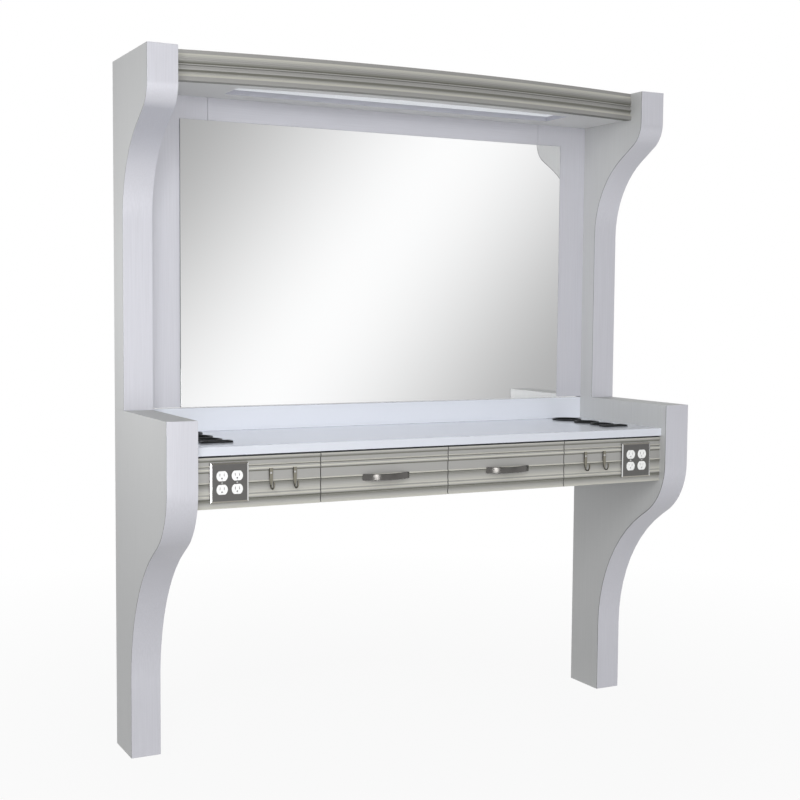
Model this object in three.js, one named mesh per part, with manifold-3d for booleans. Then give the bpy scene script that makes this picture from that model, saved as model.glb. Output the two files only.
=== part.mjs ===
// Salon styling station with two work places side by side.
// Ogee side panels carry a counter with drawers below, and a mirror under a lit canopy above.
// Millimetres, +Z up. The front faces -Y, the feet stand on Z = 0 and the origin is midway between
// the back plane and the front of the lower side panels.

import * as THREE from 'three';
import { mergeVertices } from 'three/addons/utils/BufferGeometryUtils.js';
import Module from 'manifold-3d';

const wasm = await Module();
wasm.setup();

// Overall
const overallWidth = 1829;
const lowerHeight = 1067;
const upperHeight = 1067;

// Clearance of pieces that fit into or behind one another
const fitGap = 0.3;

// Side panels: two skins on a rear stile and cross ribs, closed in front by a bent band
const panelThickness = 92;
const panelSkin = 12;
const panelStile = 40;
const panelRib = 16;
const panelRibPitch = 190;
const bandThickness = 4;
const bandToeGap = 1.5;

// Lower side panel, deep at the counter and narrow at the foot
const lowerDepth = 533;
const legDepth = 168;
const lowerStraight = 200;
const lowerNoseRadius = 205;
const lowerHollowRadius = 510;
const lowerSlope = 32;

// Upper side panel, deep at the canopy and narrow at the post
const canopyDepth = 365;
const postDepth = 104;
const upperStraight = 104;
const upperNoseRadius = 90;
const upperHollowRadius = 300;
const upperSlope = 31;

// Back boards behind the mirror
const backThickness = 31;
const sideBoardWidth = 203;
const boardSeam = 1;
const backJointGap = 3;

// Mirror
const mirrorSideMargin = 110.5;
const mirrorTopMargin = 72;
const mirrorThickness = 6;

// Crown moulding, bowed forward between the upper side panels
// Members run from the top down: a flat lies back, a fillet stands out, a bead swells, a cove hollows
// Each has its share of the height
const crownMembers = [
  { form: 'flat', share: 0.122 },
  { form: 'bead', share: 0.334 },
  { form: 'fillet', share: 0.044 },
  { form: 'flat', share: 0.1 },
  { form: 'fillet', share: 0.044 },
  { form: 'cove', share: 0.211 },
  { form: 'fillet', share: 0.145 },
];
const crownHeight = 90;
const crownRelief = 5;
const crownThickness = 30;
const crownEndDepth = 306;
const crownBow = 73;
const crownDrop = 1;

// Canopy boards
const soffitRise = 2;
const soffitThickness = 16;
const canopyTopThickness = 16;
const canopyTopDrop = 3;

// Light opening, its lens and the batten with its tube
const lightLength = 1194;
const lightRearDepth = 118;
const soffitLip = 64;
const lensLap = 10;
const lensThickness = 4;
const battenLength = 1172;
const battenDepth = 190;
const battenWidth = 38;
const battenHeight = 23;
const battenWall = 1.2;
const lampholderThickness = 9;
const lampholderWidth = 18;
const lampholderClearance = 5;
const tubeDiameter = 16;

// Counter and splash
const splashHeight = 76;
const counterDepth = 507;
const counterThickness = 25;

// Fluted front
const fasciaMembers = [
  { form: 'bead', share: 0.1 },
  { form: 'flat', share: 0.073 },
  { form: 'bead', share: 0.034 },
  { form: 'flat', share: 0.033 },
  { form: 'bead', share: 0.073 },
  { form: 'flat', share: 0.18 },
  { form: 'bead', share: 0.04 },
  { form: 'cove', share: 0.193 },
  { form: 'flat', share: 0.027 },
  { form: 'bead', share: 0.087 },
  { form: 'cove', share: 0.16 },
];
const fasciaHeight = 150;
const fasciaRelief = 3;
const fasciaThickness = 19;
const fasciaDepth = 503;
const fasciaGap = 3.5;
const frontGap = 3;
const drawerFrontGap = 0.6;

// Carcass under the counter
const apronThickness = 19;
const partitionThickness = 18;
const endBayWidth = 389.5;
const carcassRise = 6;

// Drawers and their runners
const drawerRearSpace = 65;
const drawerHeight = 100;
const drawerRise = 18;
const drawerWall = 12;
const drawerBottom = 6;
const runnerSpace = 12.7;
const runnerHeight = 35;
const runnerReach = 9.5;
const runnerWall = 1.5;
const runnerCentre = 40;

// Bow handles
const handleLength = 160;
const handleReach = 26;
const handleHeight = 20;
const handleFoot = 14;
const handleBand = 4;
const handleDrop = 7;

// Outlet plates, duplex receptacles and outlet boxes
const plateInset = 102.5;
const plateWidth = 115.8;
const plateHeight = 114.3;
const plateThickness = 4;
const outletBoxWidth = 98;
const outletBoxHeight = 96;
const outletBoxDepth = 55;
const outletBoxWall = 1.6;
const outletBoxSetback = 2;
const receptaclePitch = 46;
const receptacleFacePitch = 38.9;
const receptacleFaceRadius = 17;
const receptacleFaceSweep = 57;
const receptacleFaceProud = 1;
const receptacleWidth = 33;
const receptacleBodyHeight = 68;
const receptacleBodyDepth = 24;
const yokeThickness = 1.5;
const slotSpacing = 12.7;
const slotWidth = 2.2;
const slotHeight = 8.5;
const slotRise = 3;
const groundRadius = 2.5;
const groundDrop = 7;

// Tool hooks
const hookInnerShare = 0.36;
const hookOuterShare = 0.69;
const hookWidth = 12;
const hookTipWidth = 5;
const hookNeck = 30;
const hookThickness = 2.5;
const hookHeight = 62;
const hookBend = 13;
const hookTip = 24;
const hookDrop = 130;

// Tool holders let into the counter
const holderInset = 106;
const holderFlange = 5;
const holderFlangeLap = 6;
const holderFlangeRound = 1.5;
const holderWall = 2;
const holderLength = 120;
const holderHoleGap = 0.5;
const dryerHolderDiameter = 104;
const dryerHolderGap = 17;
const wideIronHolderDiameter = 88;
const wideIronHolderGap = 26;
const slimIronHolderDiameter = 82;
const slimIronHolderGap = 7;
const slotHolderWidth = 98;
const slotHolderLength = 40;
const slotHolderGap = 5;
const slotHolderCorner = 8;

// Smoothness of arcs, mouldings, round pieces and the bow
const arcSteps = 10;
const memberSteps = 6;
const roundSegments = 28;
const bowSteps = 24;

// Heights and places that follow from the sizes above
const overallHeight = lowerHeight + upperHeight;
const innerX = overallWidth / 2 - panelThickness;
const crownTop = overallHeight - crownDrop;
const crownBottom = crownTop - crownHeight;
const soffitBottom = crownBottom + soffitRise;
const soffitTop = soffitBottom + soffitThickness;
const canopyTopBottom = overallHeight - canopyTopDrop - canopyTopThickness;
const counterHeight = lowerHeight - backJointGap - splashHeight;
const counterBottom = counterHeight - counterThickness;
const fasciaTop = counterBottom - fasciaGap;
const fasciaBottom = fasciaTop - fasciaHeight;
const fasciaBack = fasciaDepth - fasciaThickness;
const fasciaMiddle = (fasciaTop + fasciaBottom) / 2;
const carcassBottom = fasciaBottom + carcassRise;
const partitionSpacing = innerX - endBayWidth;

const silverLaminate = { color: 0xc9c9d1, roughness: 0.45, metalness: 0.15 };
const whiteLaminate = { color: 0xe3e8f0, roughness: 0.3, metalness: 0 };
const flutedSilver = { color: 0xb4b4ac, roughness: 0.35, metalness: 0.5 };
const carcassBoard = { color: 0xd8d6d0, roughness: 0.6, metalness: 0 };
const mirrorGlass = { color: 0xf2f4f6, roughness: 0.02, metalness: 1 };
const lensAcrylic = { color: 0xf4f7fa, roughness: 0.25, metalness: 0 };
const tubeGlass = { color: 0xfafafa, roughness: 0.3, metalness: 0 };
const whiteSteel = { color: 0xeeeeee, roughness: 0.4, metalness: 0 };
const zincSteel = { color: 0xa9adb0, roughness: 0.35, metalness: 0.9 };
const brushedSteel = { color: 0x8c8a88, roughness: 0.3, metalness: 1 };
const whitePlastic = { color: 0xf3f3f1, roughness: 0.35, metalness: 0 };
const blackPlastic = { color: 0x15171a, roughness: 0.25, metalness: 0 };

const sides = [
  { side: 'left', sign: -1 },
  { side: 'right', sign: 1 },
];

// The station's own origin is on the back plane, so a piece at depth d from the back is at y = -d
const group = new THREE.Group();
const station = new THREE.Group();
station.position.y = lowerDepth / 2;
group.add(station);

const axisX = new THREE.Vector3(1, 0, 0);
const axisY = new THREE.Vector3(0, 1, 0);
const axisZ = new THREE.Vector3(0, 0, 1);
const point = (x, y) => new THREE.Vector2(x, y);

// Leaves out a point that falls on the one before it
const sameSpot = 0.001;
const distinct = (points) => points.filter((p, i) => i === 0 || p.distanceTo(points[i - 1]) > sameSpot);

function place(parent, name, geometry, look, x = 0, y = 0, z = 0) {
  const mesh = new THREE.Mesh(geometry, new THREE.MeshStandardMaterial(look));
  mesh.name = name;
  mesh.position.set(x, y, z);
  parent.add(mesh);
}

// A board between two corners, given as spans along X, depth from the back plane and Z
function board(name, look, [left, right], [rear, front], [bottom, top]) {
  const geometry = new THREE.BoxGeometry(right - left, front - rear, top - bottom);
  place(station, name, geometry, look, (left + right) / 2, -(rear + front) / 2, (bottom + top) / 2);
}

// A box whose centre is given, for cutting and joining
function block(width, depth, height, x = 0, y = 0, z = 0) {
  return new THREE.BoxGeometry(width, depth, height).translate(x, y, z);
}

function extrude(shape, length, steps = 1) {
  return new THREE.ExtrudeGeometry(shape, {
    depth: length,
    steps,
    bevelEnabled: false,
    curveSegments: roundSegments / 2,
  });
}

// An outline of (depth, z) points, extruded along X and centred on X = 0
function alongX(outline, length, steps = 1) {
  const basis = new THREE.Matrix4().makeBasis(axisY.clone().negate(), axisZ, axisX.clone().negate());
  return extrude(new THREE.Shape(outline), length, steps).translate(0, 0, -length / 2).applyMatrix4(basis);
}

// An outline drawn in X and Z with any holes, extruded towards the front from y = 0
function towardsFront(outline, length, holes = []) {
  const basis = new THREE.Matrix4().makeBasis(axisX, axisZ, axisY.clone().negate());
  return pierced(outline, holes, length).applyMatrix4(basis);
}

function solid(geometry) {
  const bare = geometry.clone();
  bare.deleteAttribute('normal');
  bare.deleteAttribute('uv');
  const merged = mergeVertices(bare);
  return new wasm.Manifold(new wasm.Mesh({
    numProp: 3,
    vertProperties: new Float32Array(merged.attributes.position.array),
    triVerts: new Uint32Array(merged.index.array),
  }));
}

function fromSolid(manifold) {
  const { vertProperties, triVerts } = manifold.getMesh();
  const geometry = new THREE.BufferGeometry();
  geometry.setAttribute('position', new THREE.BufferAttribute(vertProperties, 3));
  geometry.setIndex(new THREE.BufferAttribute(triVerts, 1));
  geometry.computeVertexNormals();
  return geometry;
}

function cut(body, tools) {
  return fromSolid(tools.reduce((rest, tool) => rest.subtract(solid(tool)), solid(body)));
}

function join([first, ...others]) {
  return fromSolid(others.reduce((all, piece) => all.add(solid(piece)), solid(first)));
}

function arc(centreX, centreY, radius, from, to, steps = arcSteps) {
  return Array.from({ length: steps + 1 }, (_, i) => {
    const angle = from + ((to - from) * i) / steps;
    return point(centreX + radius * Math.cos(angle), centreY + radius * Math.sin(angle));
  });
}

const circle = (x, y, radius) => arc(x, y, radius, 0, 2 * Math.PI, roundSegments).slice(1);

// A plate of a given outline and thickness, with holes right through it
function pierced(outline, holes, thickness) {
  const plate = extrude(new THREE.Shape(outline), thickness);
  const tools = holes.map((hole) => {
    const tool = extrude(new THREE.Shape(hole), 3 * thickness);
    return tool.translate(0, 0, -thickness);
  });
  return cut(plate, tools);
}

// An arc over a chord from x = -half to x = half that rises to a crest at x = 0
function bowArc(half, rise) {
  const radius = (half * half + rise * rise) / (2 * rise);
  const sweep = Math.asin(half / radius);
  return arc(0, rise - radius, radius, Math.PI / 2 + sweep, Math.PI / 2 - sweep, bowSteps);
}

// Front edge of a side panel from top to bottom as (depth, z): a straight face, a rounded nose,
// a sloping run, a hollow sweep and a straight leg. An inset moves the whole edge back.
function ogeeEdge(form, inset) {
  const slope = THREE.MathUtils.degToRad(form.slope);
  const reach = 1 - Math.sin(slope);
  const run = form.depth - form.foot;
  const hollow = Math.min(form.hollow, run / reach - form.nose);
  const straight = (run - (form.nose + hollow) * reach) / Math.cos(slope);
  const noseZ = form.top - form.straight;
  const hollowZ = noseZ - (form.nose + hollow) * Math.cos(slope) - straight * Math.sin(slope);
  return distinct([
    point(form.depth - inset, form.top),
    ...arc(form.depth - form.nose, noseZ, form.nose - inset, 0, slope - Math.PI / 2),
    ...arc(form.foot + hollow, hollowZ, hollow + inset, Math.PI / 2 + slope, Math.PI),
    point(form.foot - inset, form.bottom),
  ]);
}

// Skins, stile and ribs in one glued panel: cells open to the front, where the band closes them
function panelGeometry(form) {
  const body = alongX(
    [point(0, form.top), ...ogeeEdge(form, bandThickness), point(0, form.bottom)],
    panelThickness,
  );
  const height = form.top - form.bottom;
  const cells = Math.round((height - panelRib) / panelRibPitch);
  const cellHeight = (height - panelRib) / cells - panelRib;
  const cellWidth = panelThickness - 2 * panelSkin;
  const tools = Array.from({ length: cells }, (_, i) => {
    const z = form.bottom + panelRib + cellHeight / 2 + i * (cellHeight + panelRib);
    return block(cellWidth, form.depth, cellHeight, 0, -panelStile - form.depth / 2, z);
  });
  return cut(body, tools);
}

function bandGeometry(form, toeGap) {
  const raised = { ...form, bottom: form.bottom + toeGap };
  const outer = ogeeEdge(raised, 0);
  const inner = ogeeEdge(raised, bandThickness);
  return alongX([...outer, ...inner.reverse()], panelThickness);
}

const lowerForm = {
  top: lowerHeight,
  bottom: 0,
  depth: lowerDepth,
  foot: legDepth,
  straight: lowerStraight,
  nose: lowerNoseRadius,
  hollow: lowerHollowRadius,
  slope: lowerSlope,
};
const upperForm = {
  top: overallHeight,
  bottom: lowerHeight,
  depth: canopyDepth,
  foot: postDepth,
  straight: upperStraight,
  nose: upperNoseRadius,
  hollow: upperHollowRadius,
  slope: upperSlope,
};

// Side panels
for (const { side, sign } of sides) {
  const x = sign * (overallWidth - panelThickness) / 2;
  place(station, `${side}_lower_panel`, panelGeometry(lowerForm), silverLaminate, x);
  place(station, `${side}_lower_band`, bandGeometry(lowerForm, bandToeGap), silverLaminate, x);
  place(station, `${side}_upper_panel`, panelGeometry(upperForm), silverLaminate, x);
  place(station, `${side}_upper_band`, bandGeometry(upperForm, 0), silverLaminate, x);
}

// Back boards, standing between the upper side panels and butted at two seams
const backSpan = [lowerHeight, canopyTopBottom];
const seamX = innerX - sideBoardWidth;
board('left_back_board', silverLaminate, [-innerX, -seamX], [0, backThickness], backSpan);
const centreSpan = [boardSeam - seamX, seamX - boardSeam];
board('centre_back_board', silverLaminate, centreSpan, [0, backThickness], backSpan);
board('right_back_board', silverLaminate, [seamX, innerX], [0, backThickness], backSpan);

// Mirror, glued to the back boards
const mirrorEdge = innerX - mirrorSideMargin;
board(
  'mirror',
  mirrorGlass,
  [-mirrorEdge, mirrorEdge],
  [backThickness, backThickness + mirrorThickness],
  [lowerHeight, soffitBottom - mirrorTopMargin],
);

// Front line of a moulding from the top down, as (depth, z)
function mouldingLine(members, totalHeight, front, relief, top) {
  const points = [];
  let z = top;
  for (const { form, share } of members) {
    const height = share * totalHeight;
    const swell = { flat: 0, fillet: 0, bead: relief, cove: -relief }[form];
    const base = form === 'flat' || form === 'bead' ? front - relief : front;
    const steps = swell === 0 ? 1 : memberSteps;
    for (let i = 0; i <= steps; i += 1) {
      const along = i / steps;
      points.push(point(base + swell * 4 * along * (1 - along), z - height * along));
    }
    z -= height;
  }
  return distinct(points);
}

// How far the crown stands forward of its ends
const bow = (x) => crownBow * (1 - (x / innerX) ** 2);
const crownBack = (x) => crownEndDepth - crownThickness + bow(x);

// Crown moulding, cut to fit between the upper side panels
function crownGeometry() {
  const back = crownEndDepth - crownThickness;
  const line = mouldingLine(crownMembers, crownHeight, crownEndDepth, crownRelief, crownTop);
  const geometry = alongX([point(back, crownTop), ...line, point(back, crownBottom)], 2 * innerX, bowSteps);
  const position = geometry.attributes.position;
  for (let i = 0; i < position.count; i += 1) {
    position.setY(i, position.getY(i) - bow(position.getX(i)));
  }
  geometry.computeVertexNormals();
  return geometry;
}
place(station, 'crown_moulding', crownGeometry(), flutedSilver);

// A plan outline with a straight rear edge and a bowed front edge that follows the crown
function bowedPlan(halfLength, rearDepth, behindCrown) {
  const front = Array.from({ length: bowSteps + 1 }, (_, i) => {
    const x = halfLength - (2 * halfLength * i) / bowSteps;
    return point(x, behindCrown - crownBack(x));
  });
  return [point(-halfLength, -rearDepth), point(halfLength, -rearDepth), ...front];
}

// Canopy boards: the soffit with its light opening, and the top board
const lightOpening = bowedPlan(lightLength / 2, lightRearDepth, soffitLip);
const soffit = pierced(bowedPlan(innerX, backThickness, fitGap), [lightOpening], soffitThickness);
place(station, 'canopy_soffit', soffit, silverLaminate, 0, 0, soffitBottom);
const canopyTop = pierced(bowedPlan(innerX, 0, fitGap), [], canopyTopThickness);
place(station, 'canopy_top', canopyTop, carcassBoard, 0, 0, canopyTopBottom);

// Lens, lying on the soffit over the opening
const lensPlan = bowedPlan(lightLength / 2 + lensLap, lightRearDepth - lensLap, soffitLip - lensLap);
place(station, 'light_lens', pierced(lensPlan, [], lensThickness), lensAcrylic, 0, 0, soffitTop);

// Batten, a steel channel with a lampholder at each end, fixed under the top board
const battenBottom = canopyTopBottom - battenHeight;
const lampholderDrop = battenBottom - soffitTop - lensThickness - lampholderClearance;
function battenGeometry() {
  const half = battenWidth / 2;
  const inner = half - battenWall;
  const channel = alongX(
    [
      point(-half, 0),
      point(-inner, 0),
      point(-inner, battenWall - battenHeight),
      point(inner, battenWall - battenHeight),
      point(inner, 0),
      point(half, 0),
      point(half, -battenHeight),
      point(-half, -battenHeight),
    ],
    battenLength,
  );
  const holderHeight = lampholderDrop + battenWall;
  const holderX = (battenLength - lampholderThickness) / 2;
  const holderZ = battenWall - battenHeight - holderHeight / 2;
  const holders = sides.map(({ sign }) =>
    block(lampholderThickness, lampholderWidth, holderHeight, sign * holderX, 0, holderZ));
  return join([channel, ...holders]);
}
place(station, 'light_batten', battenGeometry(), whiteSteel, 0, -battenDepth, canopyTopBottom);

// Tube between the lampholders
const tubeLength = battenLength - 2 * (lampholderThickness + fitGap);
const tubeRadius = tubeDiameter / 2;
const tubeGeometry = new THREE.CylinderGeometry(tubeRadius, tubeRadius, tubeLength, roundSegments);
tubeGeometry.rotateZ(Math.PI / 2);
place(station, 'light_tube', tubeGeometry, tubeGlass, 0, -battenDepth, battenBottom - lampholderDrop / 2);

// Tool holders: their places on the counter, in a line from the splash board towards the front
const holderX = innerX - holderInset;
const dryerHolderDepth = backThickness + dryerHolderGap + dryerHolderDiameter / 2;
const wideIronHolderReach = wideIronHolderGap + (dryerHolderDiameter + wideIronHolderDiameter) / 2;
const wideIronHolderDepth = dryerHolderDepth + wideIronHolderReach;
const slimIronHolderReach = slimIronHolderGap + (wideIronHolderDiameter + slimIronHolderDiameter) / 2;
const slimIronHolderDepth = wideIronHolderDepth + slimIronHolderReach;
const slotHolderDepth = slimIronHolderDepth + slotHolderGap + (slimIronHolderDiameter + slotHolderLength) / 2;
const roundHolders = [
  { name: 'dryer_holder', diameter: dryerHolderDiameter, depth: dryerHolderDepth },
  { name: 'wide_iron_holder', diameter: wideIronHolderDiameter, depth: wideIronHolderDepth },
  { name: 'slim_iron_holder', diameter: slimIronHolderDiameter, depth: slimIronHolderDepth },
];

// A rounded rectangle centred on (x, y)
function roundedRectangle(width, length, corner, x = 0, y = 0) {
  const halfWidth = width / 2 - corner;
  const halfLength = length / 2 - corner;
  const steps = roundSegments / 4;
  return [
    ...arc(x + halfWidth, y + halfLength, corner, 0, Math.PI / 2, steps),
    ...arc(x - halfWidth, y + halfLength, corner, Math.PI / 2, Math.PI, steps),
    ...arc(x - halfWidth, y - halfLength, corner, Math.PI, 1.5 * Math.PI, steps),
    ...arc(x + halfWidth, y - halfLength, corner, 1.5 * Math.PI, 2 * Math.PI, steps),
  ];
}

// The slot holder's outline, shrunk all round by an inset
function slotOutline(inset, x = 0, y = 0) {
  const corner = Math.max(slotHolderCorner - inset, holderWall);
  return roundedRectangle(slotHolderWidth - 2 * inset, slotHolderLength - 2 * inset, corner, x, y);
}

// Counter top with a hole for each holder's sleeve
const counterPlan = [
  point(-innerX, 0),
  point(-innerX, -counterDepth),
  point(innerX, -counterDepth),
  point(innerX, 0),
];
const sleeveHoles = sides.flatMap(({ sign }) => [
  ...roundHolders.map(({ diameter, depth }) => {
    const radius = diameter / 2 - holderFlangeLap + holderHoleGap;
    return circle(sign * holderX, -depth, radius);
  }),
  slotOutline(holderFlangeLap - holderHoleGap, sign * holderX, -slotHolderDepth),
]);
const counterGeometry = pierced(counterPlan, sleeveHoles, counterThickness);
place(station, 'counter_top', counterGeometry, whiteLaminate, 0, 0, counterBottom);

// Splash board, standing on the rear edge of the counter
const splashSpan = [counterHeight, counterHeight + splashHeight];
board('splash_board', whiteLaminate, [-innerX, innerX], [0, backThickness], splashSpan);

// A round holder: a flange on the counter and an open sleeve through it
function roundHolderGeometry(diameter) {
  const flange = diameter / 2;
  const outer = flange - holderFlangeLap;
  const bore = outer - holderWall;
  const profile = [
    point(bore, -holderLength),
    point(outer, -holderLength),
    point(outer, 0),
    point(flange, 0),
    point(flange, holderFlange - holderFlangeRound),
    point(flange - holderFlangeRound, holderFlange),
    point(bore + holderFlangeRound, holderFlange),
    point(bore, holderFlange - holderFlangeRound),
    point(bore, -holderLength),
  ];
  return new THREE.LatheGeometry(profile, roundSegments).rotateX(Math.PI / 2);
}

// The slot holder: the same flange and sleeve round a rounded rectangle
function slotHolderGeometry() {
  const hole = slotOutline(holderFlangeLap + holderWall);
  const flange = pierced(slotOutline(0), [hole], holderFlange);
  const sleeve = pierced(slotOutline(holderFlangeLap), [hole], holderLength + holderFlange);
  return join([flange, sleeve.translate(0, 0, -holderLength)]);
}

for (const { side, sign } of sides) {
  for (const { name, diameter, depth } of roundHolders) {
    const geometry = roundHolderGeometry(diameter);
    place(station, `${side}_${name}`, geometry, blackPlastic, sign * holderX, -depth, counterHeight);
  }
  const slotX = sign * holderX;
  const slotY = -slotHolderDepth;
  place(station, `${side}_slot_holder`, slotHolderGeometry(), blackPlastic, slotX, slotY, counterHeight);
}

// Rear apron and the partitions that carry the drawer runners
board('rear_apron', carcassBoard, [-innerX, innerX], [0, apronThickness], [carcassBottom, counterBottom]);
const partitions = [
  { name: 'left_partition', x: -partitionSpacing },
  { name: 'centre_partition', x: 0 },
  { name: 'right_partition', x: partitionSpacing },
];
for (const { name, x } of partitions) {
  const span = [x - partitionThickness / 2, x + partitionThickness / 2];
  board(name, carcassBoard, span, [apronThickness, fasciaBack], [carcassBottom, counterBottom]);
}

// Fluted front panel of a given length, with its back at a given depth
function fasciaGeometry(length, backDepth) {
  const line = mouldingLine(fasciaMembers, fasciaHeight, fasciaDepth, fasciaRelief, fasciaTop);
  return alongX([point(backDepth, fasciaTop), ...line, point(backDepth, fasciaBottom)], length);
}

// End fascias, with a cut-out for the outlet box
const endLeft = partitionSpacing + frontGap / 2;
const endCentre = (endLeft + innerX) / 2;
const plateX = innerX - plateInset;
const plateZ = fasciaMiddle;
const cutOutWidth = outletBoxWidth + 2 * fitGap;
const cutOutHeight = outletBoxHeight + 2 * fitGap;
for (const { side, sign } of sides) {
  const panel = fasciaGeometry(innerX - endLeft, fasciaBack).translate(sign * endCentre, 0, 0);
  const cutOut = block(cutOutWidth, 2 * fasciaDepth, cutOutHeight, sign * plateX, 0, plateZ);
  place(station, `${side}_end_fascia`, cut(panel, [cutOut]), flutedSilver);
}

// Face of a receptacle: a circle with flats at the top and bottom
function faceOutline(grow, x, z) {
  const radius = receptacleFaceRadius + grow;
  const angle = THREE.MathUtils.degToRad(receptacleFaceSweep);
  return [
    ...arc(x, z, radius, -angle, angle),
    ...arc(x, z, radius, Math.PI - angle, Math.PI + angle),
  ];
}
const faceHeights = [-receptacleFacePitch / 2, receptacleFacePitch / 2];
const receptacleOffsets = [-receptaclePitch / 2, receptaclePitch / 2];

function plateGeometry() {
  const halfWidth = plateWidth / 2;
  const halfHeight = plateHeight / 2;
  const outline = [
    point(-halfWidth, -halfHeight),
    point(halfWidth, -halfHeight),
    point(halfWidth, halfHeight),
    point(-halfWidth, halfHeight),
  ];
  const openings = receptacleOffsets.flatMap((x) => faceHeights.map((z) => faceOutline(fitGap, x, z)));
  return towardsFront(outline, plateThickness, openings);
}

// Duplex receptacle: body and yoke behind the plate, two faces through it with their blade slots
function receptacleGeometry() {
  const width = receptacleWidth;
  const yokeHeight = outletBoxHeight - 2 * (outletBoxWall + fitGap);
  const yoke = block(width, yokeThickness, yokeHeight, 0, yokeThickness / 2, 0);
  const body = block(width, receptacleBodyDepth, receptacleBodyHeight, 0, receptacleBodyDepth / 2, 0);
  const faceReach = plateThickness + receptacleFaceProud;
  const faces = faceHeights.map((z) => {
    const face = towardsFront(faceOutline(0, 0, z), faceReach + yokeThickness);
    return face.translate(0, yokeThickness, 0);
  });
  const slots = faceHeights.flatMap((z) => [
    block(slotWidth, 2 * faceReach, slotHeight, -slotSpacing / 2, -faceReach, z + slotRise),
    block(slotWidth, 2 * faceReach, slotHeight, slotSpacing / 2, -faceReach, z + slotRise),
    towardsFront(circle(0, z - groundDrop, groundRadius), 2 * faceReach),
  ]);
  return cut(join([yoke, body, ...faces]), slots);
}

// Outlet box, a pressed steel cup open to the front
function outletBoxGeometry() {
  const outer = block(outletBoxWidth, outletBoxDepth, outletBoxHeight, 0, outletBoxDepth / 2, 0);
  const inner = block(
    outletBoxWidth - 2 * outletBoxWall,
    outletBoxDepth,
    outletBoxHeight - 2 * outletBoxWall,
    0,
    outletBoxDepth / 2 - outletBoxWall,
    0,
  );
  return cut(outer, [inner]);
}

for (const { side, sign } of sides) {
  const x = sign * plateX;
  const boxY = outletBoxSetback - fasciaDepth;
  place(station, `${side}_outlet_plate`, plateGeometry(), brushedSteel, x, -fasciaDepth, plateZ);
  place(station, `${side}_outlet_box`, outletBoxGeometry(), zincSteel, x, boxY, plateZ);
  for (const offset of receptacleOffsets) {
    const name = offset * sign > 0 ? `${side}_outer_receptacle` : `${side}_inner_receptacle`;
    place(station, name, receptacleGeometry(), whitePlastic, x + offset, -fasciaDepth, plateZ);
  }
}

// Tool hooks: a flat strap bent into a J, narrowed from its neck down to the bend and the tip
function hookGeometry() {
  const outer = arc(hookBend, hookBend, hookBend, Math.PI, 2 * Math.PI);
  const inner = arc(hookBend, hookBend, hookBend - hookThickness, 2 * Math.PI, Math.PI);
  const outline = [
    point(0, hookHeight),
    point(0, hookNeck),
    ...outer,
    point(2 * hookBend, hookTip),
    point(2 * hookBend - hookThickness, hookTip),
    ...inner,
    point(hookThickness, hookNeck),
    point(hookThickness, hookHeight),
  ];
  const geometry = alongX(outline, hookWidth);
  const position = geometry.attributes.position;
  for (let i = 0; i < position.count; i += 1) {
    if (position.getZ(i) < hookNeck - sameSpot) {
      position.setX(i, position.getX(i) * hookTipWidth / hookWidth);
    }
  }
  geometry.computeVertexNormals();
  return geometry;
}
// Two hooks share the width between the drawer front and the outlet plate
const hookZ = counterHeight - hookDrop;
const hookRun = plateX - plateWidth / 2 - endLeft;
const hookInnerX = endLeft + hookInnerShare * hookRun;
const hookOuterX = endLeft + hookOuterShare * hookRun;
for (const { side, sign } of sides) {
  place(station, `${side}_inner_hook`, hookGeometry(), brushedSteel, sign * hookInnerX, -fasciaDepth, hookZ);
  place(station, `${side}_outer_hook`, hookGeometry(), brushedSteel, sign * hookOuterX, -fasciaDepth, hookZ);
}

// Bow handle: a band bowed forward between two feet
function handleGeometry() {
  const outer = bowArc(handleLength / 2, handleReach);
  const inner = bowArc(handleLength / 2 - handleFoot, handleReach - handleBand);
  const outline = [...outer, ...inner.reverse()].map((p) => point(p.x, -p.y));
  return extrude(new THREE.Shape(outline), handleHeight).translate(0, 0, -handleHeight / 2);
}

// Runner members nest as two channels: the cabinet's on the partition, the drawer's inside it
function channelOutline(webX, lipX, wall, halfHeight) {
  const inward = Math.sign(lipX - webX) * wall;
  return [
    point(webX, -halfHeight),
    point(lipX, -halfHeight),
    point(lipX, wall - halfHeight),
    point(webX + inward, wall - halfHeight),
    point(webX + inward, halfHeight - wall),
    point(lipX, halfHeight - wall),
    point(lipX, halfHeight),
    point(webX, halfHeight),
  ];
}

const drawerSpace = partitionSpacing - partitionThickness;
const drawerWidth = drawerSpace - 2 * runnerSpace;
const drawerBack = fasciaBack + drawerFrontGap;
const drawerLength = fasciaBack - apronThickness - drawerRearSpace;
const drawerFloor = fasciaBottom + drawerRise;
const drawerFrontWidth = partitionSpacing - frontGap;

function drawerBoxGeometry() {
  const outer = block(drawerWidth, drawerLength, drawerHeight, 0, 0, drawerHeight / 2);
  const inner = block(
    drawerWidth - 2 * drawerWall,
    drawerLength - 2 * drawerWall,
    drawerHeight,
    0,
    0,
    drawerHeight / 2 + drawerBottom,
  );
  return cut(outer, [inner]);
}

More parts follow.
